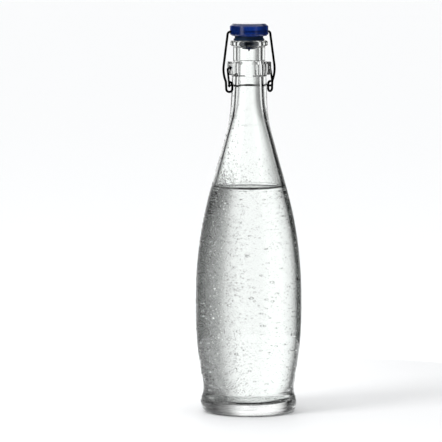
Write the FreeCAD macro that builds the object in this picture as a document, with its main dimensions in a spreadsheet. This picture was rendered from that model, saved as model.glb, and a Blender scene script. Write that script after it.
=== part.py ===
import FreeCAD, Part
import math
import os
import Sketcher

# Swing top bottle: a clear glass bottle with a thick-walled neck, and a hinged wire closure that
# clamps a plastic stopper and its rubber gasket onto the mouth.
# Frame: millimetres, +Z up along the bottle, origin at the middle of the foot's resting plane.
# X runs along the closure's pivot line, through the two glass lugs. The lever wire passes behind
# the neck on the +Y side, and the stopper leans towards -Y as it opens.

SIZES = [
    # name, millimetres (or degrees), meaning
    ("footRadius", 41.2, "widest radius of the foot bead"),
    ("footBeadHeight", 10.3, "height of the foot bead's upper corner"),
    ("footBeadRounding", 14.0, "rounding of the bead's upper corner"),
    ("footRounding", 7.0, "outer rounding from the foot to the resting ring"),
    ("restRadius", 32.0, "inner radius of the resting ring"),
    ("puntRadius", 26.0, "radius where the hollow under the base levels out"),
    ("puntHeight", 4.0, "height of the hollow at that radius"),
    ("puntTop", 5.0, "height of the hollow on the axis"),
    ("puntRounding", 12.0, "rounding inside the hollow under the base"),
    ("restRounding", 2.0, "rounding of the resting ring's inner edge"),
    ("waistRadius", 38.85, "radius of the waist above the foot"),
    ("waistLow", 17.5, "lower end of the waist"),
    ("waistHigh", 25.0, "upper end of the waist"),
    ("waistLowRounding", 12.0, "rounding at the lower end of the waist"),
    ("waistHighRounding", 40.0, "rounding at its upper end"),
    ("bodyRadius", 45.4, "largest radius of the body"),
    ("bodyLow", 57.75, "where the lower taper would meet the largest radius"),
    ("bodyHigh", 145.9, "where the shoulder line would meet the largest radius"),
    ("lowerCurve", 283.0, "radius of the lower body's long curve"),
    ("upperCurve", 345.0, "radius of the shoulder's long curve"),
    ("neckBaseRadius", 16.2, "radius where the shoulder line meets the neck"),
    ("neckBaseHeight", 254.1, "height of that meeting"),
    ("neckCurve", 100.0, "radius of the curve from shoulder to neck"),
    ("neckRadius", 15.1, "neck radius just under the collar"),
    ("collarFootRounding", 0.8, "rounding where the neck meets the collar"),
    ("collarBottom", 290.2, "underside of the collar"),
    ("collarStepWidth", 0.9, "width of the step at the foot of the collar"),
    ("collarStepHeight", 1.3, "height of that step"),
    ("collarStepRounding", 0.6, "rounding of that step"),
    ("collarRadius", 16.5, "radius of the collar band"),
    ("collarBandLow", 294.6, "lower edge of the band"),
    ("collarBandHigh", 300.4, "upper edge of the band"),
    ("collarBandRounding", 0.8, "rounding of the band's edges"),
    ("collarTop", 303.2, "top of the collar's upper slope"),
    ("collarTopRounding", 1.2, "rounding above the collar"),
    ("throatRadius", 13.9, "radius of the neck above the collar"),
    ("lipLow", 315.5, "underside of the lip bead"),
    ("lipFootRounding", 0.9, "rounding between neck and lip bead"),
    ("lipStep", 0.7, "height of the slope under the lip bead"),
    ("lipLowRounding", 1.8, "lower rounding of the lip bead"),
    ("lipTopRounding", 2.0, "upper rounding of the lip bead"),
    ("lipRadius", 16.2, "radius of the lip bead"),
    ("mouthHeight", 320.8, "height of the mouth"),
    ("wallThickness", 2.7, "glass thickness in the body"),
    ("floorEdge", 8.6, "height of the inner floor at its edge"),
    ("floorMiddle", 9.8, "height of the inner floor on the axis"),
    ("floorRounding", 8.5, "rounding between inner floor and wall"),
    ("innerHighDrop", 1.5, "how far the inner shoulder starts below the outer one"),
    ("innerNeckRadius", 10.3, "radius of the bore at the foot of the neck"),
    ("innerNeckHeight", 264.5, "height where the inner shoulder meets the bore"),
    ("innerNeckCurve", 70.0, "radius of the curve from inner shoulder to bore"),
    ("boreRadius", 9.0, "radius of the bore at the mouth"),
    ("boreStraight", 300.0, "height above which the bore is straight"),
    ("boreCurve", 100.0, "radius of the curve where the bore becomes straight"),
    ("mouthRounding", 1.1, "rounding of the bore's edge at the mouth"),
    ("cutMargin", 2.0, "how far the hollow's outline runs past the mouth"),
    ("lugReach", 16.9, "distance of each lug's flat face from the axis"),
    ("lugHalfWidth", 10.0, "half the width of a lug"),
    ("lugLow", 290.9, "bottom of a lug"),
    ("lugHigh", 302.6, "top of a lug"),
    ("lugFootRounding", 5.0, "rounding of a lug's lower corners"),
    ("lugTopRounding", 1.5, "rounding of a lug's upper corners"),
    ("lugFaceRounding", 0.8, "rounding round a lug's flat face"),
    ("pivotHeight", 297.2, "height of the lever's pivot line"),
    ("dimpleDepthRadius", 13.4, "distance of the dimple's floor from the axis"),
    ("dimpleFlare", 1.0, "depth of the flared entry of a dimple"),
    ("dimpleMargin", 0.3, "how far a dimple's outline runs past the lug's face"),
    ("runningGap", 0.1, "radial clearance between a wire and its hole"),
    ("pinEndGap", 0.4, "space between the end of the lever wire and its dimple's floor"),
    ("leverWireRadius", 0.9, "radius of the lever wire"),
    ("leverArmReach", 19.9, "distance of the lever's arms from the axis"),
    ("leverBend", 1.8, "bend radius of the lever wire at its pivot end"),
    ("leverCorner", 2.2, "bend radius of the lever wire at its lower corner"),
    ("leverLegHeight", 281.6, "height of the lever's loop behind the neck"),
    ("leverCornerForward", 4.9, "how far the lower corners stand in front of the pivot line"),
    ("leverSpread", 0.2, "how far the arms spread from pivot to lower corner"),
    ("leverLoopRadius", 17.35, "radius of the half loop behind the neck"),
    ("bailWireRadius", 1.0, "radius of the bail wire"),
    ("bailPinHeight", 328.2, "height of the bail's pin through the stopper"),
    ("bailShoulderReach", 19.5, "distance of the bail's upper bends from the axis"),
    ("bailShoulderBend", 2.2, "bend radius of those bends"),
    ("bailBowReach", 24.35, "distance of the corner of the bail's outward bow"),
    ("bailBowHeight", 293.5, "height of that corner"),
    ("bailBowBend", 26.0, "bend radius of the bow"),
    ("eyeApproachOut", 0.35, "how far outside the eye's side the arm bends into it"),
    ("eyeApproachBack", 0.1, "how far behind the eye's side that bend is"),
    ("eyeApproachRise", 2.6, "how far above the eye's side that bend is"),
    ("eyeApproachBend", 6.0, "radius of that bend"),
    ("eyeReach", 18.9, "distance of an eye's middle from the axis"),
    ("eyeForward", 1.8, "how far an eye's middle stands in front of the pivot line"),
    ("eyeHeight", 281.1, "height of an eye's middle"),
    ("eyeWidth", 5.1, "width of an eye between wire centres"),
    ("eyeLength", 8.5, "length of an eye between wire centres"),
    ("eyeTurn", 28.0, "degrees by which an eye is turned towards the front"),
    ("eyeEndGap", 0.02, "straight left at the ends of an eye between its two bends"),
    ("cutEndGap", 0.1, "space between the wire's cut end and the arm beside it"),
    ("capRadius", 16.6, "radius of the stopper's head"),
    ("capLow", 324.6, "underside of the head"),
    ("capHigh", 335.2, "top of the head"),
    ("capBevelWidth", 2.7, "width of the bevel round the top"),
    ("capBevelHeight", 2.1, "height of that bevel"),
    ("capFoot", 1.5, "chamfer round the head's underside"),
    ("capFootLowRounding", 0.5, "lower rounding of that chamfer"),
    ("capFootHighRounding", 0.8, "upper rounding of that chamfer"),
    ("capBevelLowRounding", 1.0, "lower rounding of the bevel"),
    ("capBevelHighRounding", 1.2, "upper rounding of the bevel"),
    ("stemRadius", 4.5, "radius of the stem inside the gasket"),
    ("plugLow", 315.8, "underside of the gasket's plug, on top of the retaining flange"),
    ("flangeRadius", 6.8, "upper radius of the retaining flange"),
    ("flangeFootRadius", 5.5, "lower radius of the retaining flange"),
    ("flangeLow", 313.3, "underside of the retaining flange"),
    ("flangeRounding", 0.4, "rounding of the flange's foot"),
    ("nibRadius", 1.1, "radius of the moulding nib where it leaves the flange"),
    ("nibTipRadius", 0.4, "radius of its tip"),
    ("nibLow", 311.5, "height of its tip"),
    ("seatGap", 0.15, "space between gasket and mouth with the closure unloaded"),
    ("plugRadius", 8.4, "radius of the gasket's plug under the seat"),
    ("plugFootRadius", 8.0, "radius of the plug at its foot"),
    ("plugFootRounding", 0.7, "rounding of the plug's foot"),
    ("sealRadius", 13.3, "radius of the gasket's sealing lip"),
    ("sealHeight", 0.8, "height of the sealing lip"),
    ("sealRounding", 0.3, "rounding of its edges"),
    ("gasketWaistRadius", 12.1, "radius of the gasket between lip and head"),
    ("gasketWaistDrop", 1.7, "distance of that waist below the head"),
    ("gasketWaistRounding", 1.5, "rounding of that waist"),
    ("gasketFlare", 0.2, "how much wider the gasket is where it meets the head"),
]

os.makedirs("parts", exist_ok=True)
doc = FreeCAD.newDocument("SwingTopBottle")


class Length:
    """A sheet value, or a sum of them, with the expression that binds a feature to it."""

    def __init__(self, value, formula):
        self.value = value
        self.formula = formula

    def __add__(self, other):
        return Length(self.value + other.value, f"{self.formula} + {other.formula}")

    def __sub__(self, other):
        return Length(self.value - other.value, f"{self.formula} - ({other.formula})")

    def __neg__(self):
        return Length(-self.value, f"-({self.formula})")


def makeSheet():
    sheet = doc.addObject("Spreadsheet::Sheet", "Sizes")
    for row, (name, value, meaning) in enumerate(SIZES, start=1):
        sheet.set(f"A{row}", meaning)
        sheet.set(f"B{row}", str(value))
        sheet.setAlias(f"B{row}", name)
    doc.recompute()
    return sheet


sheet = makeSheet()
ZERO = Length(0.0, "0 mm")
# Millimetres within which two places count as one, and the least change of volume in mm3 that a
# feature makes.
SAME_PLACE = 0.01
LEAST_CHANGE = 0.001


def size(name):
    return Length(float(getattr(sheet, name)), f"Sizes.{name} * 1 mm")


def plain(name):
    return float(getattr(sheet, name))


def originPlane(body, role):
    return next(f for f in body.Origin.OriginFeatures if f.Role == role)


def newSketch(body, name, role):
    sketch = body.newObject("Sketcher::SketchObject", name)
    sketch.AttachmentSupport = [(originPlane(body, role), "")]
    sketch.MapMode = "FlatFace"
    return sketch


def cornerArc(before, corner, after, radius):
    """Tangent points, circle centre and turning side of a rounded corner in the sketch plane."""
    inward = (before - corner).normalize()
    outward = (after - corner).normalize()
    angle = math.acos(inward.dot(outward))
    reach = radius / math.tan(angle / 2)
    bisector = (inward + outward).normalize()
    centre = corner + bisector * (radius / math.sin(angle / 2))
    turnsLeft = (corner - before).cross(after - corner).z > 0
    return corner + inward * reach, corner + outward * reach, centre, turnsLeft


def bindPoint(sketch, geometry, point, x, y):
    """Hold a sketch point at x, y, on an axis where one of them is zero."""
    for kind, length, axis in (("DistanceX", x, -2), ("DistanceY", y, -1)):
        if length is ZERO:
            sketch.addConstraint(Sketcher.Constraint("PointOnObject", geometry, point, axis))
        else:
            index = sketch.addConstraint(
                Sketcher.Constraint(kind, -1, 1, geometry, point, length.value)
            )
            sketch.setExpression(f"Constraints[{index}]", length.formula)


def drawOutline(sketch, corners):
    """Closed outline through corners (x, y, rounding or None), each corner held by the sheet."""
    points = [FreeCAD.Vector(x.value, y.value, 0) for x, y, rounding in corners]
    count = len(corners)
    arcs = {}
    starts = list(points)
    ends = list(points)
    for i, (x, y, rounding) in enumerate(corners):
        if rounding is not None:
            first, second, centre, left = cornerArc(
                points[i - 1], points[i], points[(i + 1) % count], rounding.value
            )
            ends[i], starts[i] = first, second
            arcs[i] = (first, second, centre, left)
    lines = []
    for i in range(count):
        segment = Part.LineSegment(starts[i], ends[(i + 1) % count])
        lines.append(sketch.addGeometry(segment, False))
    for i, (x, y, rounding) in enumerate(corners):
        incoming = lines[i - 1]
        outgoing = lines[i]
        if rounding is None:
            sketch.addConstraint(Sketcher.Constraint("Coincident", incoming, 2, outgoing, 1))
            bindPoint(sketch, outgoing, 1, x, y)
            continue
        first, second, centre, left = arcs[i]
        low, high = (first, second) if left else (second, first)
        circle = Part.Circle(centre, FreeCAD.Vector(0, 0, 1), rounding.value)
        lowAngle = math.atan2(low.y - centre.y, low.x - centre.x)
        highAngle = math.atan2(high.y - centre.y, high.x - centre.x)
        if highAngle < lowAngle:
            highAngle += 2 * math.pi
        arc = sketch.addGeometry(Part.ArcOfCircle(circle, lowAngle, highAngle), False)
        firstEnd, secondEnd = (1, 2) if left else (2, 1)
        sketch.addConstraint(Sketcher.Constraint("Tangent", incoming, 2, arc, firstEnd))
        sketch.addConstraint(Sketcher.Constraint("Tangent", outgoing, 1, arc, secondEnd))
        index = sketch.addConstraint(Sketcher.Constraint("Radius", arc, rounding.value))
        sketch.setExpression(f"Constraints[{index}]", rounding.formula)
        corner = sketch.addGeometry(Part.Point(points[i]), True)
        sketch.addConstraint(Sketcher.Constraint("PointOnObject", corner, 1, incoming))
        sketch.addConstraint(Sketcher.Constraint("PointOnObject", corner, 1, outgoing))
        bindPoint(sketch, corner, 1, x, y)


def revolve(body, kind, name, sketch, axis="V_Axis"):
    feature = body.newObject(kind, name)
    feature.Profile = sketch
    feature.ReferenceAxis = (sketch, [axis])
    feature.Angle = 360
    sketch.Visibility = False
    return feature


def edgesAt(shape, test):
    return [f"Edge{i}" for i, edge in enumerate(shape.Edges, start=1) if test(edge)]


def requireChange(feature, before, sign):
    """Stop when a cut removed nothing, or an addition added nothing."""
    change = feature.Shape.Volume - before
    if change * sign <= LEAST_CHANGE:
        raise RuntimeError(f"{feature.Name} changed the volume by {change:.3f} mm3")


def outerOutline():
    foot = size("footRadius")
    return [
        (ZERO, size("puntTop"), None),
        (size("puntRadius"), size("puntHeight"), size("puntRounding")),
        (size("restRadius"), ZERO, size("restRounding")),
        (foot, ZERO, size("footRounding")),
        (foot, size("footBeadHeight"), size("footBeadRounding")),
        (size("waistRadius"), size("waistLow"), size("waistLowRounding")),
        (size("waistRadius"), size("waistHigh"), size("waistHighRounding")),
        (size("bodyRadius"), size("bodyLow"), size("lowerCurve")),
        (size("bodyRadius"), size("bodyHigh"), size("upperCurve")),
        (size("neckBaseRadius"), size("neckBaseHeight"), size("neckCurve")),
        (size("neckRadius"), size("collarBottom"), size("collarFootRounding")),
        (
            size("neckRadius") + size("collarStepWidth"),
            size("collarBottom") + size("collarStepHeight"),
            size("collarStepRounding"),
        ),
        (size("collarRadius"), size("collarBandLow"), size("collarBandRounding")),
        (size("collarRadius"), size("collarBandHigh"), size("collarBandRounding")),
        (size("throatRadius"), size("collarTop"), size("collarTopRounding")),
        (size("throatRadius"), size("lipLow"), size("lipFootRounding")),
        (size("lipRadius"), size("lipLow") + size("lipStep"), size("lipLowRounding")),
        (size("lipRadius"), size("mouthHeight"), size("lipTopRounding")),
        (ZERO, size("mouthHeight"), None),
    ]


def innerOutline():
    wall = size("wallThickness")
    waist = size("waistRadius") - wall
    widest = size("bodyRadius") - wall
    above = size("mouthHeight") + size("cutMargin")
    return [
        (ZERO, size("floorMiddle"), None),
        (waist, size("floorEdge"), size("floorRounding")),
        (waist, size("waistHigh"), size("waistHighRounding")),
        (widest, size("bodyLow"), size("lowerCurve")),
        (widest, size("bodyHigh") - size("innerHighDrop"), size("upperCurve")),
        (size("innerNeckRadius"), size("innerNeckHeight"), size("innerNeckCurve")),
        (size("boreRadius"), size("boreStraight"), size("boreCurve")),
        (size("boreRadius"), above, None),
        (ZERO, above, None),
    ]


def makeBottle():
    body = doc.addObject("PartDesign::Body", "Bottle")
    body.Label = "bottle_glass"
    outer = newSketch(body, "BottleOutside", "XZ_Plane")
    drawOutline(outer, outerOutline())
    revolve(body, "PartDesign::Revolution", "BottleSolid", outer)

    lug = newSketch(body, "LugOutline", "YZ_Plane")
    side = size("lugHalfWidth")
    drawOutline(
        lug,
        [
            (-side, size("lugLow"), size("lugFootRounding")),
            (side, size("lugLow"), size("lugFootRounding")),
            (side, size("lugHigh"), size("lugTopRounding")),
            (-side, size("lugHigh"), size("lugTopRounding")),
        ],
    )
    lugs = body.newObject("PartDesign::Pad", "Lugs")
    lugs.Profile = lug
    lugs.SideType = "Symmetric"
    lugs.setExpression("Length", "2 * Sizes.lugReach * 1 mm")
    doc.recompute()
    requireChange(lugs, body.getObject("BottleSolid").Shape.Volume, 1)

    reach = plain("lugReach")
    faceEdges = edgesAt(
        lugs.Shape,
        lambda e: all(abs(abs(v.X) - reach) < SAME_PLACE for v in e.Vertexes)
        and abs(abs(e.CenterOfMass.x) - reach) < SAME_PLACE,
    )
    softened = body.newObject("PartDesign::Fillet", "LugRounding")
    softened.Base = (lugs, faceEdges)
    softened.setExpression("Radius", "Sizes.lugFaceRounding * 1 mm")
    doc.recompute()

    inner = newSketch(body, "BottleInside", "XZ_Plane")
    drawOutline(inner, innerOutline())
    before = softened.Shape.Volume
    hollow = revolve(body, "PartDesign::Groove", "BottleHollow", inner)
    doc.recompute()
    requireChange(hollow, before, -1)

    bore = plain("boreRadius")
    mouth = plain("mouthHeight")
    mouthEdges = edgesAt(
        hollow.Shape,
        lambda e: abs(e.CenterOfMass.z - mouth) < SAME_PLACE
        and abs(e.BoundBox.XLength - 2 * bore) < SAME_PLACE,
    )
    rounding = body.newObject("PartDesign::Fillet", "MouthRounding")
    rounding.Base = (hollow, mouthEdges)
    rounding.setExpression("Radius", "Sizes.mouthRounding * 1 mm")
    doc.recompute()

    dimple = newSketch(body, "DimpleOutline", "XZ_Plane")
    pivot = size("pivotHeight")
    deep = size("dimpleDepthRadius")
    entry = size("lugReach") + size("dimpleMargin")
    hole = size("leverWireRadius") + size("runningGap")
    flare = size("dimpleFlare") + size("dimpleMargin")
    drawOutline(
        dimple,
        [
            (deep, pivot, None),
            (entry, pivot, None),
            (entry, pivot + hole + flare, None),
            (entry - flare, pivot + hole, None),
            (deep, pivot + hole, None),
        ],
    )
    # The outline's first line lies on the pivot line, and a construction line over it is the axis.
    pivotLine = dimple.addGeometry(
        Part.LineSegment(
            FreeCAD.Vector(deep.value, pivot.value, 0), FreeCAD.Vector(entry.value, pivot.value, 0)
        ),
        True,
    )
    dimple.addConstraint(Sketcher.Constraint("Coincident", pivotLine, 1, 0, 1))
    dimple.addConstraint(Sketcher.Constraint("Coincident", pivotLine, 2, 0, 2))
    before = rounding.Shape.Volume
    dimples = revolve(body, "PartDesign::Groove", "Dimple", dimple, "Axis0")
    doc.recompute()
    requireChange(dimples, before, -1)

    before = dimples.Shape.Volume
    mirrored = body.newObject("PartDesign::Mirrored", "DimplePair")
    mirrored.Originals = [dimples]
    mirrored.MirrorPlane = (originPlane(body, "YZ_Plane"), [""])
    body.Tip = mirrored
    doc.recompute()
    requireChange(mirrored, before, -1)
    return body


def makeStopperHead():
    body = doc.addObject("PartDesign::Body", "StopperHead")
    body.Label = "stopper_head"
    cap = size("capRadius")
    low = size("capLow")
    high = size("capHigh")
    sketch = newSketch(body, "StopperOutline", "XZ_Plane")
    drawOutline(
        sketch,
        [
            (ZERO, size("nibLow"), None),
            (size("nibTipRadius"), size("nibLow"), None),
            (size("nibRadius"), size("flangeLow"), None),
            (size("flangeFootRadius"), size("flangeLow"), size("flangeRounding")),
            (size("flangeRadius"), size("plugLow"), None),
            (size("stemRadius"), size("plugLow"), None),
            (size("stemRadius"), low, None),
            (cap - size("capFoot"), low, size("capFootLowRounding")),
            (cap, low + size("capFoot"), size("capFootHighRounding")),
            (cap, high - size("capBevelHeight"), size("capBevelLowRounding")),
            (cap - size("capBevelWidth"), high, size("capBevelHighRounding")),
            (ZERO, high, None),
        ],
    )
    turned = revolve(body, "PartDesign::Revolution", "StopperSolid", sketch)
    hole = newSketch(body, "PinHoleOutline", "YZ_Plane")
    circle = hole.addGeometry(
        Part.Circle(
            FreeCAD.Vector(0, plain("bailPinHeight"), 0), FreeCAD.Vector(0, 0, 1), plain("bailWireRadius")
        ),
        False,
    )
    bindPoint(hole, circle, 3, ZERO, size("bailPinHeight"))
    radius = size("bailWireRadius") + size("runningGap")
    index = hole.addConstraint(Sketcher.Constraint("Radius", circle, radius.value))
    hole.setExpression(f"Constraints[{index}]", radius.formula)
    doc.recompute()
    before = turned.Shape.Volume
    pinHole = body.newObject("PartDesign::Pocket", "PinHole")
    pinHole.Profile = hole
    pinHole.SideType = "Symmetric"
    pinHole.Type = "ThroughAll"
    doc.recompute()
    requireChange(pinHole, before, -1)
    return body


def makeGasket():
    body = doc.addObject("PartDesign::Body", "Gasket")
    body.Label = "gasket"
    seat = size("mouthHeight") + size("seatGap")
    sketch = newSketch(body, "GasketOutline", "XZ_Plane")
    waist = size("gasketWaistRadius")
    drawOutline(
        sketch,
        [
            (size("stemRadius"), size("plugLow"), None),
            (size("plugFootRadius"), size("plugLow"), size("plugFootRounding")),
            (size("plugRadius"), seat, None),
            (size("sealRadius"), seat, size("sealRounding")),
            (size("sealRadius"), seat + size("sealHeight"), size("sealRounding")),
            (waist, size("capLow") - size("gasketWaistDrop"), size("gasketWaistRounding")),
            (waist + size("gasketFlare"), size("capLow"), None),
            (size("stemRadius"), size("capLow"), None),
        ],
    )
    revolve(body, "PartDesign::Revolution", "GasketSolid", sketch)
    return body


def bentPath(points):
    """Edges through points (vector, bend radius), each inner point turned by a tangent arc."""
    edges = []
    start = points[0][0]
    for i in range(1, len(points) - 1):
        corner, radius = points[i]
        first, second, centre, left = cornerArc(points[i - 1][0], corner, points[i + 1][0], radius)
        middle = centre + (corner - centre).normalize() * radius
        if (first - start).Length > SAME_PLACE:
            edges.append(Part.LineSegment(start, first).toShape())
        edges.append(Part.Arc(first, middle, second).toShape())
        start = second
    edges.append(Part.LineSegment(start, points[-1][0]).toShape())
    return edges


def mirroredInX(edges):
    plane = (FreeCAD.Vector(0, 0, 0), FreeCAD.Vector(1, 0, 0))
    return [edge.mirror(*plane) for edge in reversed(edges)]


def roundBar(edges, radius):
    """A round wire of the given radius along edges that run from end to end."""
    spine = Part.Wire(Part.__sortEdges__(edges))
    start = spine.OrderedEdges[0]
    tip = start.valueAt(start.FirstParameter)
    direction = start.tangentAt(start.FirstParameter)
    if start.Orientation == "Reversed":
        tip = start.valueAt(start.LastParameter)
        direction = -start.tangentAt(start.LastParameter)
    section = Part.Wire([Part.Circle(tip, direction, radius).toShape()])
    bar = spine.makePipeShell([section], True, False)
    expected = math.pi * radius**2 * spine.Length
    print(f"wire {spine.Length:.1f} mm long, volume {bar.Volume:.1f} of {expected:.1f} mm3")
    return bar


def wireObject(name, label, shape):
    feature = doc.addObject("Part::Feature", name)
    feature.Label = label
    feature.Shape = shape
    feature.Placement = FreeCAD.Placement()
    return feature


def makeLeverWire():
    pivot = plain("pivotHeight")
    arm = plain("leverArmReach")
    leg = plain("leverLegHeight")
    loop = plain("leverLoopRadius")
    insideDimple = plain("dimpleDepthRadius") + plain("pinEndGap")
    cornerX = arm + plain("leverSpread")
    cornerY = -plain("leverCornerForward")
    # The leg runs from the corner to where it touches the loop's circle.
    cornerAngle = math.atan2(cornerY, cornerX)
    touchAngle = cornerAngle + math.acos(loop / math.hypot(cornerX, cornerY))
    touch = FreeCAD.Vector(loop * math.cos(touchAngle), loop * math.sin(touchAngle), leg)
    half = bentPath(
        [
            (FreeCAD.Vector(insideDimple, 0, pivot), 0),
            (FreeCAD.Vector(arm, 0, pivot), plain("leverBend")),
            (FreeCAD.Vector(cornerX, cornerY, leg), plain("leverCorner")),
            (touch, 0),
        ]
    )
    behind = FreeCAD.Vector(0, loop, leg)
    otherTouch = FreeCAD.Vector(-touch.x, touch.y, leg)
    halfLoop = Part.Arc(touch, behind, otherTouch).toShape()
    path = half + [halfLoop] + mirroredInX(half)
    return wireObject("LeverWire", "lever_wire", roundBar(path, plain("leverWireRadius")))


def makeBailWire():
    pin = plain("bailPinHeight")
    turn = math.radians(plain("eyeTurn"))
    halfWidth = plain("eyeWidth") / 2
    halfLength = plain("eyeLength") / 2
    bend = halfWidth - plain("eyeEndGap")
    middle = FreeCAD.Vector(plain("eyeReach"), -plain("eyeForward"), plain("eyeHeight"))
    across = FreeCAD.Vector(math.cos(turn), math.sin(turn), 0)
    upward = FreeCAD.Vector(0, 0, 1)

    def eyePoint(side, rise):
        return middle + across * side + upward * rise

    # The wire's cut end stops just short of the arm that the eye hangs from.
    cutEnd = halfWidth - 2 * plain("bailWireRadius") - plain("cutEndGap")
    eyeTop = eyePoint(halfWidth, halfLength - halfWidth)
    approach = FreeCAD.Vector(
        plain("eyeApproachOut"), plain("eyeApproachBack"), plain("eyeApproachRise")
    )
    half = bentPath(
        [
            (FreeCAD.Vector(0, 0, pin), 0),
            (FreeCAD.Vector(plain("bailShoulderReach"), 0, pin), plain("bailShoulderBend")),
            (
                FreeCAD.Vector(plain("bailBowReach"), eyeTop.y / 2, plain("bailBowHeight")),
                plain("bailBowBend"),
            ),
            (eyeTop + approach, plain("eyeApproachBend")),
            (eyePoint(halfWidth, -halfLength), bend),
            (eyePoint(-halfWidth, -halfLength), bend),
            (eyePoint(-halfWidth, halfLength), bend),
            (eyePoint(cutEnd, halfLength), 0),
        ]
    )
    path = half + mirroredInX(half)
    return wireObject("BailWire", "bail_wire", roundBar(path, plain("bailWireRadius")))


def checkAndExport(pieces):
    doc.recompute()
    failed = [o.Name for o in doc.Objects if "Invalid" in o.State or "Error" in o.State]
    for piece in pieces:
        if piece.Shape.isNull() or not piece.Shape.isValid() or len(piece.Shape.Solids) != 1:
            failed.append(piece.Label)
    if failed:
        raise RuntimeError("not built: " + ", ".join(failed))
    for piece in pieces:
        piece.Shape.exportStep(f"parts/{piece.Label}.step")
        print(piece.Label, round(piece.Shape.Volume, 1), "mm3")


checkAndExport(
    [makeBottle(), makeStopperHead(), makeGasket(), makeBailWire(), makeLeverWire()]
)
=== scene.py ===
import bpy
import math
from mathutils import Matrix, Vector
from mathutils.bvhtree import BVHTree


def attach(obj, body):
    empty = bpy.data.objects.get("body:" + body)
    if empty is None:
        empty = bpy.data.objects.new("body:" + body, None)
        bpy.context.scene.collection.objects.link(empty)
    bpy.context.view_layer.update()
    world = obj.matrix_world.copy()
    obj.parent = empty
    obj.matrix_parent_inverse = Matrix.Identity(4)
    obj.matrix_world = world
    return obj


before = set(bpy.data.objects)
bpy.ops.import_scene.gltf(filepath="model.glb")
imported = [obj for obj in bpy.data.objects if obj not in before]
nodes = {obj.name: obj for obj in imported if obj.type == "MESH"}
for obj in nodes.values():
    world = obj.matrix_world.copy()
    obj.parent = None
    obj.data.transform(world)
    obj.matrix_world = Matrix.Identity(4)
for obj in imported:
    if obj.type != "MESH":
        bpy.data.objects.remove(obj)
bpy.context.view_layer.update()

mm = 0.001  # sizes below are in millimetres unless they say metres


def linearColour(hexText):
    # sRGB hex to the linear values that a node takes
    out = []
    for i in (1, 3, 5):
        c = int(hexText[i:i + 2], 16) / 255
        out.append(c / 12.92 if c <= 0.04045 else ((c + 0.055) / 1.055) ** 2.4)
    return (*out, 1.0)


def addNode(tree, kind, settings=None, inputs=None, links=None):
    # settings by name; inputs and links by name or number
    node = tree.nodes.new(kind)
    for name, value in (settings or {}).items():
        setattr(node, name, value)
    for name, value in (inputs or {}).items():
        node.inputs[name].default_value = value
    for name, source in (links or {}).items():
        tree.links.new(source, node.inputs[name])
    return node


def newMaterial(name):
    material = bpy.data.materials.new(name)
    material.use_nodes = True
    material.node_tree.nodes.clear()
    return material, material.node_tree


def setRamp(node, stops):
    ramp = node.color_ramp
    while len(ramp.elements) > 1:
        ramp.elements.remove(ramp.elements[-1])
    for i, (place, colour) in enumerate(stops):
        element = ramp.elements[0] if i == 0 else ramp.elements.new(place)
        element.position = place
        element.color = colour


def circle(radius, count, height=0.0):
    turns = [i * math.tau / count for i in range(count)]
    return [(radius * math.cos(a), radius * math.sin(a), height) for a in turns]


def meshObject(name, vertices, faces, smooth=True):
    mesh = bpy.data.meshes.new(name)
    mesh.from_pydata(vertices, [], faces)
    mesh.validate()
    if smooth:
        mesh.shade_smooth()
    obj = bpy.data.objects.new(name, mesh)
    bpy.context.scene.collection.objects.link(obj)
    return obj


cameraPlan = {
    "azimuth": -22.0,  # degrees; the lug on the -X side is the nearer one
    "elevation": 5.4,
    "distance": 3.3,  # metres
    "lens": 312.0,
    "sensor": 36.0,
    "aimHeight": 165.0,  # above the foot
    "aimRight": -24.0,  # to the right of the bottle's axis
}


def makeCamera(plan):
    turn = math.radians(plan["azimuth"])
    rise = math.radians(plan["elevation"])
    right = Vector((math.cos(turn), math.sin(turn), 0))
    back = Vector((math.sin(turn) * math.cos(rise), -math.cos(turn) * math.cos(rise), math.sin(rise)))
    target = Vector((0, 0, plan["aimHeight"] * mm)) + right * plan["aimRight"] * mm
    data = bpy.data.cameras.new("camera")
    data.lens = plan["lens"]
    data.sensor_width = plan["sensor"]
    data.clip_start = 0.1
    data.clip_end = 100
    camera = bpy.data.objects.new("camera", data)
    bpy.context.scene.collection.objects.link(camera)
    camera.location = target + back * plan["distance"]
    camera.rotation_mode = "QUATERNION"
    camera.rotation_quaternion = (-back).to_track_quat("-Z", "Y")
    bpy.context.scene.camera = camera
    return right, back


cameraRight, cameraBack = makeCamera(cameraPlan)
print("camera ready")


studio = {
    "worldStrength": 1.06,
    "floorColour": "#f3f4f5",
    "floorRoughness": 0.55,
    "floorRadius": 60.0,  # metres
    "floorSides": 96,
    "windowPower": 14.0,
    "windowPlace": (-1.1, 0.8, 1.2),  # metres right of, in front of and above the bottle
    "windowSize": (0.6, 1.0),  # metres
    "windowAim": 180.0,  # height on the bottle's axis
}


def makeRoom(plan):
    scene = bpy.context.scene
    scene.view_settings.view_transform = "Standard"
    world = bpy.data.worlds.new("soft_white_room")
    scene.world = world
    world.use_nodes = True
    background = world.node_tree.nodes["Background"]
    background.inputs["Color"].default_value = (1, 1, 1, 1)
    background.inputs["Strength"].default_value = plan["worldStrength"]


def makeFloor(plan):
    count = plan["floorSides"]
    floor = meshObject("floor", circle(plan["floorRadius"], count), [list(range(count))], smooth=False)
    material, tree = newMaterial("pale matt floor")
    shader = addNode(tree, "ShaderNodeBsdfPrincipled", inputs={
        "Base Color": linearColour(plan["floorColour"]), "Roughness": plan["floorRoughness"]})
    addNode(tree, "ShaderNodeOutputMaterial", links={"Surface": shader.outputs[0]})
    floor.data.materials.append(material)
    floor.visible_transmission = False  # the glass shows the papers round it instead


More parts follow.
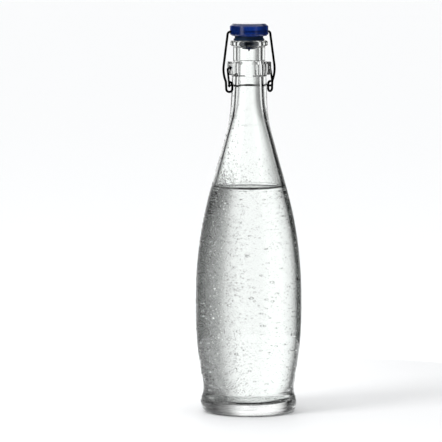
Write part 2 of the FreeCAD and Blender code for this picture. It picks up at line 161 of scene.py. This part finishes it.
def makeWindowLight(plan):
    side, front, height = plan["windowPlace"]
    toCamera = Vector((cameraBack.x, cameraBack.y, 0)).normalized()
    place = cameraRight * side + toCamera * front + Vector((0, 0, height))
    aim = Vector((0, 0, plan["windowAim"] * mm))
    data = bpy.data.lights.new("window_light", "AREA")
    data.shape = "RECTANGLE"
    data.size, data.size_y = plan["windowSize"]
    data.energy = plan["windowPower"]
    light = bpy.data.objects.new("window_light", data)
    bpy.context.scene.collection.objects.link(light)
    light.location = place
    light.rotation_mode = "QUATERNION"
    light.rotation_quaternion = (aim - place).to_track_quat("-Z", "Y")
    light.visible_camera = False


# A plain studio for glass, in greys: a white backdrop behind the bottle, a large dark card to the
# right of it and a small one to the left, pale walls, and darkness behind the camera. The cards draw
# the edges of the glass. One ring of papers is only seen through the glass, and a table and a ceiling
# close it; the other only shows as a reflection. The camera sees neither.
# Angles are in degrees to the right of the camera's direction.
seenPlan = {
    "radius": 0.36,  # metres, and so are the next two
    "lowest": -0.16,
    "highest": 0.42,
    "sides": 120,
    "glow": 1.2,
    "table": "#282828",
    "ceiling": "#282828",
    "papers": [
        (-180, "#181818"), (-155, "#181818"), (-130, "#f0f0f0"), (-60, "#f0f0f0"),  # pale wall
        (-50, "#202020"), (-38, "#202020"),  # small card
        (-25, "#e0e0e0"), (-15, "#ffffff"), (5, "#ffffff"),  # backdrop
        (15, "#909090"), (25, "#606060"), (32, "#202020"), (50, "#202020"),  # large card, grey inner half
        (60, "#f0f0f0"), (130, "#f0f0f0"), (155, "#181818"), (180, "#181818"),  # pale wall
    ],
}
reflectedPlan = {
    "radius": 0.37,  # metres, and so are the next two
    "lowest": 0.0005,
    "highest": 0.66,
    "sides": 120,
    "glow": 1.2,
    "papers": [
        (-180, "#202020"), (-150, "#202020"),
        (-145, "#ffffff"), (-130, "#ffffff"),  # strip light, left
        (-125, "#202020"), (-40, "#202020"),
        (-20, "#ffffff"), (0, "#ffffff"),  # backdrop
        (25, "#606060"), (40, "#202020"), (130, "#202020"),
        (135, "#a0a0a0"), (142, "#a0a0a0"),  # weaker strip light, right
        (147, "#202020"), (180, "#202020"),
    ],
}


def addPaper(name, vertices, faces, smooth=True):
    # a staged sheet that no one sees directly and that throws no light or shadow on the floor
    paper = meshObject(name, vertices, faces, smooth)
    paper.visible_camera = False
    paper.visible_shadow = False
    paper.visible_diffuse = False
    material, tree = newMaterial(name + " lit paper")
    paper.data.materials.append(material)
    return paper, tree


def makeRing(name, plan, turnDegrees):
    count = plan["sides"]
    vertices = circle(plan["radius"], count, plan["lowest"]) + circle(plan["radius"], count, plan["highest"])
    faces = [[i, i + count, (i + 1) % count + count, (i + 1) % count] for i in range(count)]
    ring, tree = addPaper(name, vertices, faces)
    place = addNode(tree, "ShaderNodeTexCoord")
    turned = addNode(tree, "ShaderNodeMapping", {"vector_type": "POINT"},
                     {"Rotation": (0, 0, math.radians(-turnDegrees))}, {"Vector": place.outputs["Object"]})
    axes = addNode(tree, "ShaderNodeSeparateXYZ", links={0: turned.outputs[0]})
    angle = addNode(tree, "ShaderNodeMath", {"operation": "ARCTAN2"},
                    links={0: axes.outputs[0], 1: axes.outputs[1]})
    share = addNode(tree, "ShaderNodeMath", {"operation": "MULTIPLY_ADD"}, {1: 1 / math.tau, 2: 0.5},
                    {0: angle.outputs[0]})
    ramp = addNode(tree, "ShaderNodeValToRGB", links={0: share.outputs[0]})
    setRamp(ramp, [(degrees / 360 + 0.5, linearColour(paper)) for degrees, paper in plan["papers"]])
    shader = addNode(tree, "ShaderNodeEmission", inputs={"Strength": plan["glow"]},
                     links={"Color": ramp.outputs[0]})
    addNode(tree, "ShaderNodeOutputMaterial", links={"Surface": shader.outputs[0]})
    return ring


def makeDisc(name, plan, height, colour):
    # closes the ring below or above
    count = plan["sides"]
    disc, tree = addPaper(name, circle(plan["radius"], count, height), [list(range(count))], smooth=False)
    shader = addNode(tree, "ShaderNodeEmission",
                     inputs={"Color": linearColour(colour), "Strength": plan["glow"]})
    addNode(tree, "ShaderNodeOutputMaterial", links={"Surface": shader.outputs[0]})
    return disc


makeRoom(studio)
makeFloor(studio)
seenPapers = [
    makeDisc("table_paper", seenPlan, seenPlan["lowest"], seenPlan["table"]),
    makeDisc("ceiling_paper", seenPlan, seenPlan["highest"], seenPlan["ceiling"]),
    makeRing("papers_seen_through", seenPlan, cameraPlan["azimuth"]),
]
for paper in seenPapers:
    paper.visible_glossy = False
reflectedRing = makeRing("papers_reflected", reflectedPlan, cameraPlan["azimuth"])
reflectedRing.visible_transmission = False
makeWindowLight(studio)
print("studio ready")


glassNode = nodes["bottle_glass"]
glassTree = BVHTree.FromPolygons(
    [v.co.copy() for v in glassNode.data.vertices],
    [list(p.vertices) for p in glassNode.data.polygons],
)
probePlan = {"directions": 7, "firstTurn": 0.3, "turn": 0.897}  # radians, unlike the mesh's own facets


def insideRadius(z, plan=probePlan):
    # the hollow's radius at height z, in metres: the largest over a few directions
    found = []
    for i in range(plan["directions"]):
        a = plan["firstTurn"] + i * plan["turn"]
        hit = glassTree.ray_cast(Vector((0, 0, z)), Vector((math.cos(a), math.sin(a), 0)))[0]
        if hit is not None:
            found.append(math.hypot(hit.x, hit.y))
    return max(found)


def floorHeight(r, startHeight):
    # the height of the hollow's floor at radius r, in metres
    return glassTree.ray_cast(Vector((r, 0, startHeight)), Vector((0, 0, -1)))[0].z


def lathe(name, outline, segments):
    # a closed turned shape from points (radius, height) that start and end on the axis
    vertices = []
    faces = []
    rings = []
    for r, z in outline:
        first = len(vertices)
        if r == 0:
            vertices.append((0, 0, z))
        else:
            vertices.extend(circle(r, segments, z))
        rings.append(list(range(first, len(vertices))))
    for lower, upper in zip(rings, rings[1:]):
        for i in range(segments):
            j = (i + 1) % segments
            if len(lower) == 1:
                faces.append([lower[0], upper[j], upper[i]])
            elif len(upper) == 1:
                faces.append([lower[i], lower[j], upper[0]])
            else:
                faces.append([lower[i], lower[j], upper[j], upper[i]])
    return meshObject(name, vertices, faces)


glassFinish = {
    "ior": 1.52,
    "tint": "#fcfefd",
    "middleOfWall": [  # height and radius, halfway through the wall
        (0, 36), (6, 39), (12, 38), (20, 37), (40, 41), (75, 43), (110, 43.8), (140, 42.5), (165, 38.5),
        (190, 33.5), (215, 27.5), (235, 21.5), (250, 17.5), (262, 14.8), (275, 13.5), (300, 12.6),
        (321, 12.4),
    ],
    "widest": 60.0,  # the radius that white stands for where radii are kept as greys
    "mistSize": 1.8,  # across one bead of the fine mist, drawn coarse enough to show
    "mistHeight": 0.045,
    "mistElsewhere": 0.1,  # share of the mist on the side that is less wet
    "mistPatch": 22.0,  # across the wetter and drier patches
    "mistThin": (232.0, 196.0),  # heights between which the mist grows to its full amount
    "mistAbove": 0.12,  # its share above them
    "mistSide": (2.0, 34.0),  # from the middle towards the wetter side
    "waveSize": 16.0,  # across one swell of the blown inner skin
    "waveHeight": 0.12,
    "waveStretch": 0.3,  # under 1 draws the swells out along the bottle
}


def sodaLimeGlass(plan):
    # Soda lime glass, blown in a mould: clear, faintly green in the thick parts. The mould leaves the
    # outside smooth; the inside, shaped by air alone, keeps long soft swells that bend what shows
    # through it. Fine mist beads cover the cold outside.
    material, tree = newMaterial("soda lime glass")
    place = addNode(tree, "ShaderNodeTexCoord").outputs["Object"]
    height = addNode(tree, "ShaderNodeSeparateXYZ", links={0: place}).outputs[2]
    flat = addNode(tree, "ShaderNodeVectorMath", {"operation": "MULTIPLY"}, {1: (1, 1, 0)}, {0: place})
    radius = addNode(tree, "ShaderNodeVectorMath", {"operation": "LENGTH"}, links={0: flat.outputs[0]})
    top = plan["middleOfWall"][-1][0]
    share = addNode(tree, "ShaderNodeMath", {"operation": "MULTIPLY"}, {1: 1 / (top * mm)}, {0: height})
    ramp = addNode(tree, "ShaderNodeValToRGB", links={0: share.outputs[0]})
    greys = [(z / top, r / plan["widest"]) for z, r in plan["middleOfWall"]]
    setRamp(ramp, [(z, (grey, grey, grey, 1.0)) for z, grey in greys])
    middle = addNode(tree, "ShaderNodeMath", {"operation": "MULTIPLY"}, {1: plan["widest"] * mm},
                     {0: ramp.outputs[0]})
    outside = addNode(tree, "ShaderNodeMath", {"operation": "GREATER_THAN"},
                      links={0: radius.outputs["Value"], 1: middle.outputs[0]})
    inside = addNode(tree, "ShaderNodeMath", {"operation": "SUBTRACT"}, {0: 1.0}, {1: outside.outputs[0]})

    beads = addNode(tree, "ShaderNodeTexVoronoi", {"feature": "SMOOTH_F1"},
                    {"Scale": 1 / (plan["mistSize"] * mm), "Smoothness": 0.25, "Randomness": 1.0},
                    {"Vector": place})
    dome = addNode(tree, "ShaderNodeMapRange", {"interpolation_type": "SMOOTHSTEP"},
                   {"From Min": 0.42, "From Max": 0.12}, {"Value": beads.outputs["Distance"]})
    noise = addNode(tree, "ShaderNodeTexNoise", None,
                    {"Scale": 1 / (plan["mistPatch"] * mm), "Detail": 3.0, "Roughness": 0.6},
                    {"Vector": place})
    patches = addNode(tree, "ShaderNodeMapRange", None, {"From Min": 0.36, "From Max": 0.6},
                      {"Value": noise.outputs[0]})
    thinFrom, thinTo = plan["mistThin"]
    cold = addNode(tree, "ShaderNodeMapRange", {"interpolation_type": "SMOOTHSTEP"},
                   {"From Min": thinFrom * mm, "From Max": thinTo * mm,
                    "To Min": plan["mistAbove"], "To Max": 1.0}, {"Value": height})
    left = addNode(tree, "ShaderNodeVectorMath", {"operation": "DOT_PRODUCT"}, {1: tuple(-cameraRight)},
                   {0: place})
    sideFrom, sideTo = plan["mistSide"]
    wetSide = addNode(tree, "ShaderNodeMapRange", {"interpolation_type": "SMOOTHSTEP"},
                      {"From Min": sideFrom * mm, "From Max": sideTo * mm,
                       "To Min": plan["mistElsewhere"], "To Max": 1.0}, {"Value": left.outputs["Value"]})
    mist = dome.outputs[0]
    for limit in (patches, cold, wetSide, outside):
        mist = addNode(tree, "ShaderNodeMath", {"operation": "MULTIPLY"},
                       links={0: mist, 1: limit.outputs[0]}).outputs[0]
    mistBump = addNode(tree, "ShaderNodeBump", None, {"Strength": 1.0, "Distance": plan["mistHeight"] * mm},
                       {"Height": mist})

    stretched = addNode(tree, "ShaderNodeMapping", {"vector_type": "POINT"},
                        {"Scale": (1, 1, plan["waveStretch"])}, {"Vector": place})
    swell = addNode(tree, "ShaderNodeTexNoise", None,
                    {"Scale": 1 / (plan["waveSize"] * mm), "Detail": 1.0, "Roughness": 0.4},
                    {"Vector": stretched.outputs[0]})
    swellInside = addNode(tree, "ShaderNodeMath", {"operation": "MULTIPLY"},
                          links={0: swell.outputs[0], 1: inside.outputs[0]})
    skin = addNode(tree, "ShaderNodeBump", None, {"Strength": 1.0, "Distance": plan["waveHeight"] * mm},
                   {"Height": swellInside.outputs[0], "Normal": mistBump.outputs[0]})
    shader = addNode(tree, "ShaderNodeBsdfPrincipled", inputs={
        "Base Color": linearColour(plan["tint"]),
        "Roughness": 0.0,
        "IOR": plan["ior"],
        "Transmission Weight": 1.0,
    }, links={"Normal": skin.outputs[0]})
    addNode(tree, "ShaderNodeOutputMaterial", links={"Surface": shader.outputs[0]})
    return material


glassNode.material_slots[0].material = sodaLimeGlass(glassFinish)
print("glass ready")


waterPlan = {
    "level": 193.5,  # height of the flat surface
    "climb": 2.6,  # how far the surface climbs at the wall
    "reach": 1.5,  # over which the climb dies away
    "overlap": 0.45,  # that the water runs into the glass, so no air is left between them
    "ior": 1.333,
    "segments": 160,
    "lookFrom": 150.0,  # height of the points that look down for the floor
    "wallFrom": 30.0,  # height at which the hollow's radius sets how wide its floor is
    "floorPoints": 26,
    "floorRise": 6.0,  # above the floor's middle, where the wall takes over
    "wallStep": (1.2, 0.6, 2.0),  # the first rise, then the least and greatest step up the wall
    "wallGrowth": 1.25,  # from one step to the next
    "edgePoints": 39,  # along the climbing edge
    "edgeWidth": 12.0,
    "edgeCrowding": 1.6,  # over 1 brings the points closer together at the wall
    "middleRings": (0.6, 0.35, 0.15),  # shares of the radius, on the flat part
}


def waterMaterial(name):
    # Clean water: clear, with nothing dissolved in it that shows, so only its bending of light is seen.
    material, tree = newMaterial(name)
    shader = addNode(tree, "ShaderNodeBsdfPrincipled", inputs={
        "Base Color": (1.0, 1.0, 1.0, 1.0), "Roughness": 0.0, "IOR": waterPlan["ior"],
        "Transmission Weight": 1.0})
    addNode(tree, "ShaderNodeOutputMaterial", links={"Surface": shader.outputs[0]})
    return material


def makeWater(plan):
    overlap = plan["overlap"] * mm
    lookFrom = plan["lookFrom"] * mm
    floorMiddle = floorHeight(0, lookFrom)
    outline = [(0.0, floorMiddle - overlap)]
    for i in range(1, plan["floorPoints"]):
        r = insideRadius(plan["wallFrom"] * mm) * math.sin(i / plan["floorPoints"] * math.pi / 2)
        z = floorHeight(r, lookFrom)
        if z > floorMiddle + plan["floorRise"] * mm:
            break
        outline.append((r, z - overlap))
    rise, step, greatest = (size * mm for size in plan["wallStep"])
    top = (plan["level"] + plan["climb"]) * mm
    z = outline[-1][1] + rise
    while z < top:
        outline.append((insideRadius(z) + overlap, z))
        z += step
        step = min(step * plan["wallGrowth"], greatest)
    wall = insideRadius(top)
    outline.append((wall + overlap, top))
    for i in range(1, plan["edgePoints"] + 1):
        r = wall + overlap - plan["edgeWidth"] * mm * (i / plan["edgePoints"]) ** plan["edgeCrowding"]
        away = max(0.0, wall - r)
        outline.append((r, (plan["level"] + plan["climb"] * math.exp(-away / (plan["reach"] * mm))) * mm))
    for share in plan["middleRings"]:
        outline.append((wall * share, plan["level"] * mm))
    outline.append((0.0, plan["level"] * mm))
    water = lathe("water", outline, plan["segments"])
    water.data.materials.append(waterMaterial("drinking water"))
    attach(water, "bottle")


makeWater(waterPlan)
print("water ready")


dropPlan = {  # "elsewhere" is the share of beads away from the wetter left side
    "fine": {"spacing": 1.05, "smallest": 0.2, "largest": 0.38, "elsewhere": 0.6, "share": 0.55, "seed": 7,
             "sides": 6, "rings": 1},
    "small": {"spacing": 1.45, "smallest": 0.4, "largest": 0.75, "elsewhere": 0.1, "share": 1.0, "seed": 11,
              "sides": 6, "rings": 1},
    "beads": {"spacing": 2.7, "smallest": 0.7, "largest": 1.15, "elsewhere": 0.03, "share": 0.9, "seed": 23,
              "sides": 8, "rings": 3},
}
wetPlan = {
    "from": 9.0,  # above the foot, where the beads start
    "full": 196.0,  # the cold, filled part up to here has the most
    "thin": 226.0,  # above it they are few
    "to": 286.0,
    "thinShare": 0.16,
    "patch": 15.0,  # across the wetter and drier patches
    "patchNoise": (0.35, 0.62),
    "dryShare": 0.35,
    "side": (-4.0, 26.0),  # from the middle towards the wetter side
    "most": 4.0e6,  # beads in a square metre before the spacing thins them
    "crowding": 2.2,  # over 1 makes most beads small
}
dropShape = {"sink": 0.2, "rise": 0.62, "fullness": 0.8, "skirt": 0.97}  # in radii of the bead


def makeDropShape(name, sides, rings, plan=dropShape):
    # one bead: a low dome of radius 1 with a flat base a little under the surface
    vertices = circle(1.0, sides, -plan["sink"])
    faces = [list(range(sides - 1, -1, -1))]
    for k in range(1, rings + 1):
        a = k / (rings + 1) * math.pi / 2
        r = plan["skirt"] if k == 1 else math.cos(a) ** plan["fullness"]
        base = len(vertices)
        vertices += circle(r, sides, (plan["rise"] + plan["sink"]) * math.sin(a) - plan["sink"])
        for i in range(sides):
            j = (i + 1) % sides
            faces.append([base - sides + i, base - sides + j, base + j, base + i])
    top = len(vertices)
    vertices.append((0, 0, plan["rise"]))
    for i in range(sides):
        faces.append([top - sides + i, top - sides + (i + 1) % sides, top])
    drop = meshObject(name, vertices, faces)
    drop.data.polygons[0].use_smooth = False
    return drop


def makeScatterTree(name, plan):
    # beads on the outside of the glass, dense on the cold filled part and in wetter patches
    tree = bpy.data.node_groups.new(name, "GeometryNodeTree")
    face = tree.interface
    face.new_socket("Geometry", in_out="INPUT", socket_type="NodeSocketGeometry")
    face.new_socket("Drop shape", in_out="INPUT", socket_type="NodeSocketObject")
    for label in ("Least spacing", "Share", "Share elsewhere", "Smallest radius", "Largest radius"):
        face.new_socket(label, in_out="INPUT", socket_type="NodeSocketFloat")
    face.new_socket("Seed", in_out="INPUT", socket_type="NodeSocketInt")
    face.new_socket("Material", in_out="INPUT", socket_type="NodeSocketMaterial")
    face.new_socket("Geometry", in_out="OUTPUT", socket_type="NodeSocketGeometry")
    given = addNode(tree, "NodeGroupInput").outputs
    place = addNode(tree, "GeometryNodeInputPosition").outputs[0]
    height = addNode(tree, "ShaderNodeSeparateXYZ", links={0: place}).outputs[2]
    flat = addNode(tree, "ShaderNodeVectorMath", {"operation": "MULTIPLY"}, {1: (1, 1, 0)}, {0: place})
    normal = addNode(tree, "GeometryNodeInputNormal")
    outward = addNode(tree, "ShaderNodeVectorMath", {"operation": "DOT_PRODUCT"},
                      links={0: flat.outputs[0], 1: normal.outputs[0]})
    outside = addNode(tree, "ShaderNodeMath", {"operation": "GREATER_THAN"}, {1: 0.0},
                      {0: outward.outputs["Value"]})
    cold = addNode(tree, "ShaderNodeMapRange", {"interpolation_type": "SMOOTHSTEP"},
                   {"From Min": plan["thin"] * mm, "From Max": plan["full"] * mm,
                    "To Min": plan["thinShare"], "To Max": 1.0}, {"Value": height})
    above = addNode(tree, "ShaderNodeMath", {"operation": "GREATER_THAN"}, {1: plan["from"] * mm},
                    {0: height})
    below = addNode(tree, "ShaderNodeMath", {"operation": "LESS_THAN"}, {1: plan["to"] * mm}, {0: height})
    noise = addNode(tree, "ShaderNodeTexNoise", None, {"Scale": 1 / (plan["patch"] * mm), "Detail": 2.0},
                    {"Vector": place})
    noiseFrom, noiseTo = plan["patchNoise"]
    patches = addNode(tree, "ShaderNodeMapRange", None,
                      {"From Min": noiseFrom, "From Max": noiseTo, "To Min": plan["dryShare"], "To Max": 1.0},
                      {"Value": noise.outputs[0]})
    left = addNode(tree, "ShaderNodeVectorMath", {"operation": "DOT_PRODUCT"}, {1: tuple(-cameraRight)},
                   {0: place})
    sideFrom, sideTo = plan["side"]
    side = addNode(tree, "ShaderNodeMapRange", {"interpolation_type": "SMOOTHSTEP"},
                   {"From Min": sideFrom * mm, "From Max": sideTo * mm, "To Max": 1.0},
                   {"Value": left.outputs["Value"], "To Min": given["Share elsewhere"]})
    share = given["Share"]
    for limit in (outside, cold, above, below, patches, side):
        share = addNode(tree, "ShaderNodeMath", {"operation": "MULTIPLY"},
                        links={0: share, 1: limit.outputs[0]}).outputs[0]
    points = addNode(tree, "GeometryNodeDistributePointsOnFaces", {"distribute_method": "POISSON"},
                     {"Density Max": plan["most"]},
                     {"Mesh": given["Geometry"], "Distance Min": given["Least spacing"],
                      "Density Factor": share, "Seed": given["Seed"]})
    chance = addNode(tree, "FunctionNodeRandomValue", {"data_type": "FLOAT"}, links={"Seed": given["Seed"]})
    few = addNode(tree, "ShaderNodeMath", {"operation": "POWER"}, {1: plan["crowding"]},
                  {0: chance.outputs[1]})
    radius = addNode(tree, "ShaderNodeMapRange", links={
        "Value": few.outputs[0], "To Min": given["Smallest radius"], "To Max": given["Largest radius"]})
    shape = addNode(tree, "GeometryNodeObjectInfo", links={"Object": given["Drop shape"]})
    placed = addNode(tree, "GeometryNodeInstanceOnPoints", links={
        "Points": points.outputs["Points"], "Rotation": points.outputs["Rotation"],
        "Scale": radius.outputs[0], "Instance": shape.outputs["Geometry"]})
    real = addNode(tree, "GeometryNodeRealizeInstances", links={0: placed.outputs[0]})
    finished = addNode(tree, "GeometryNodeSetMaterial", links={
        "Geometry": real.outputs[0], "Material": given["Material"]})
    addNode(tree, "NodeGroupOutput", links={0: finished.outputs[0]})
    return tree


def socketOf(tree, label):
    return next(i.identifier for i in tree.interface.items_tree
                if i.name == label and i.in_out == "INPUT")


def scatterDrops(name, skin, plan, tree, material):
    shape = makeDropShape(name + "_shape", plan["sides"], plan["rings"])
    modifier = skin.modifiers.new(name, "NODES")
    modifier.node_group = tree
    values = {
        "Drop shape": shape,
        "Least spacing": plan["spacing"] * mm,
        "Share": plan["share"],
        "Share elsewhere": plan["elsewhere"],
        "Smallest radius": plan["smallest"] * mm,
        "Largest radius": plan["largest"] * mm,
        "Seed": plan["seed"],
        "Material": material,
    }
    for label, value in values.items():
        modifier[socketOf(tree, label)] = value
    ready = bpy.context.evaluated_depsgraph_get()
    mesh = bpy.data.meshes.new_from_object(skin.evaluated_get(ready))
    mesh.name = name
    skin.modifiers.remove(modifier)
    bpy.data.objects.remove(shape)
    drops = bpy.data.objects.new(name, mesh)
    bpy.context.scene.collection.objects.link(drops)
    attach(drops, "bottle")
    print(name, "has", len(mesh.polygons), "faces")


skin = bpy.data.objects.new("skin", glassNode.data.copy())  # only to scatter on; removed afterwards
bpy.context.scene.collection.objects.link(skin)
scatterTree = makeScatterTree("bead scatter", wetPlan)
dropWater = waterMaterial("condensed water")
for kind, plan in dropPlan.items():
    scatterDrops("condensation_" + kind, skin, plan, scatterTree, dropWater)
bpy.data.objects.remove(skin)
print("condensation ready")


stopperPlan = {
    "dye": "#1540a0",
    "edgeDye": "#08205c",
    "ior": 1.59,
    "clearness": 0.75,
    "coat": 0.2,
    "coatRoughness": 0.05,
    "roughness": (0.06, 0.15),
    "flowSize": 3.5,  # between the flow marks of the moulding
    "grainSize": 0.35,  # the fine spark-eroded grain of the mould
    "grainHeight": 0.03,
}


def plasticMaterial(plan):
    # Injection-moulded styrene dyed cobalt: clear enough to pass light, so thin edges glow and the
    # thick middle goes nearly black. Flow marks cloud the dye, and the mould's grain dulls the gloss.
    material, tree = newMaterial("translucent cobalt polystyrene")
    place = addNode(tree, "ShaderNodeTexCoord").outputs["Object"]
    flow = addNode(tree, "ShaderNodeTexNoise", None,
                   {"Scale": 1 / (plan["flowSize"] * mm), "Detail": 4.0, "Distortion": 1.2},
                   {"Vector": place})
    dye = addNode(tree, "ShaderNodeMix", {"data_type": "RGBA"},
                  {6: linearColour(plan["dye"]), 7: linearColour(plan["edgeDye"])}, {0: flow.outputs[0]})
    grain = addNode(tree, "ShaderNodeTexNoise", None,
                    {"Scale": 1 / (plan["grainSize"] * mm), "Detail": 2.0}, {"Vector": place})
    smoothest, roughest = plan["roughness"]
    rough = addNode(tree, "ShaderNodeMapRange", None, {"To Min": smoothest, "To Max": roughest},
                    {"Value": grain.outputs[0]})
    bump = addNode(tree, "ShaderNodeBump", None, {"Strength": 0.6, "Distance": plan["grainHeight"] * mm},
                   {"Height": grain.outputs[0]})
    shader = addNode(tree, "ShaderNodeBsdfPrincipled", inputs={
        "IOR": plan["ior"],
        "Transmission Weight": plan["clearness"],
        "Coat Weight": plan["coat"],
        "Coat Roughness": plan["coatRoughness"],
    }, links={"Base Color": dye.outputs[2], "Roughness": rough.outputs[0], "Normal": bump.outputs[0]})
    addNode(tree, "ShaderNodeOutputMaterial", links={"Surface": shader.outputs[0]})
    return material


rubberPlan = {
    "colour": "#081f38",
    "bloom": "#0c2c48",
    "bloomSize": 4.0,
    "ior": 1.52,
    "shine": 0.25,
    "roughness": (0.4, 0.62),
    "grainSize": 0.25,
    "grainHeight": 0.05,
}


def rubberMaterial(plan):
    # Compression-moulded nitrile rubber: nearly black navy, satin, with a faint paler bloom.
    material, tree = newMaterial("moulded nitrile rubber")
    place = addNode(tree, "ShaderNodeTexCoord").outputs["Object"]
    bloom = addNode(tree, "ShaderNodeTexNoise", None,
                    {"Scale": 1 / (plan["bloomSize"] * mm), "Detail": 5.0}, {"Vector": place})
    amount = addNode(tree, "ShaderNodeMapRange", None, {"From Min": 0.45, "From Max": 0.8},
                     {"Value": bloom.outputs[0]})
    colour = addNode(tree, "ShaderNodeMix", {"data_type": "RGBA"},
                     {6: linearColour(plan["colour"]), 7: linearColour(plan["bloom"])},
                     {0: amount.outputs[0]})
    grain = addNode(tree, "ShaderNodeTexNoise", None,
                    {"Scale": 1 / (plan["grainSize"] * mm), "Detail": 2.0}, {"Vector": place})
    smoothest, roughest = plan["roughness"]
    rough = addNode(tree, "ShaderNodeMapRange", None, {"To Min": smoothest, "To Max": roughest},
                    {"Value": grain.outputs[0]})
    bump = addNode(tree, "ShaderNodeBump", None, {"Strength": 0.5, "Distance": plan["grainHeight"] * mm},
                   {"Height": grain.outputs[0]})
    shader = addNode(tree, "ShaderNodeBsdfPrincipled", inputs={
        "IOR": plan["ior"],
        "Specular IOR Level": plan["shine"],
    }, links={"Base Color": colour.outputs[2], "Roughness": rough.outputs[0], "Normal": bump.outputs[0]})
    addNode(tree, "ShaderNodeOutputMaterial", links={"Surface": shader.outputs[0]})
    return material


wirePlan = {
    "steel": "#1e1e20",
    "film": "#070708",
    "drawSize": 0.5,  # across one drawing streak
    "drawStretch": 0.12,  # under 1 draws the streaks out along the arms
    "drawHeight": 0.03,
    "wearSize": 6.0,
    "roughness": (0.52, 0.3),  # of the film, then of rubbed metal
}


def wireMaterial(plan):
    # Drawn spring steel with its dark drawing film left on: dull black-brown, streaked along the
    # wire, rubbed to brighter metal in places.
    material, tree = newMaterial("dark drawn spring steel")
    place = addNode(tree, "ShaderNodeTexCoord").outputs["Object"]
    along = addNode(tree, "ShaderNodeMapping", {"vector_type": "POINT"},
                    {"Scale": (1, 1, plan["drawStretch"])}, {"Vector": place})
    streaks = addNode(tree, "ShaderNodeTexNoise", None,
                      {"Scale": 1 / (plan["drawSize"] * mm), "Detail": 3.0}, {"Vector": along.outputs[0]})
    worn = addNode(tree, "ShaderNodeTexNoise", None,
                   {"Scale": 1 / (plan["wearSize"] * mm), "Detail": 4.0}, {"Vector": place})
    both = addNode(tree, "ShaderNodeMath", {"operation": "MULTIPLY"},
                   links={0: streaks.outputs[0], 1: worn.outputs[0]})
    amount = addNode(tree, "ShaderNodeMapRange", None, {"From Min": 0.15, "From Max": 0.38},
                     {"Value": both.outputs[0]})
    colour = addNode(tree, "ShaderNodeMix", {"data_type": "RGBA"},
                     {6: linearColour(plan["film"]), 7: linearColour(plan["steel"])}, {0: amount.outputs[0]})
    filmed, rubbed = plan["roughness"]
    rough = addNode(tree, "ShaderNodeMapRange", None, {"To Min": filmed, "To Max": rubbed},
                    {"Value": both.outputs[0]})
    bump = addNode(tree, "ShaderNodeBump", None, {"Strength": 0.5, "Distance": plan["drawHeight"] * mm},
                   {"Height": streaks.outputs[0]})
    shader = addNode(tree, "ShaderNodeBsdfPrincipled", inputs={"Metallic": 1.0}, links={
        "Base Color": colour.outputs[2], "Roughness": rough.outputs[0], "Normal": bump.outputs[0]})
    addNode(tree, "ShaderNodeOutputMaterial", links={"Surface": shader.outputs[0]})
    return material


nodes["stopper_head"].material_slots[0].material = plasticMaterial(stopperPlan)
nodes["gasket"].material_slots[0].material = rubberMaterial(rubberPlan)
wire = wireMaterial(wirePlan)
for name in ("bail_wire", "lever_wire"):
    nodes[name].material_slots[0].material = wire
print("closure ready")
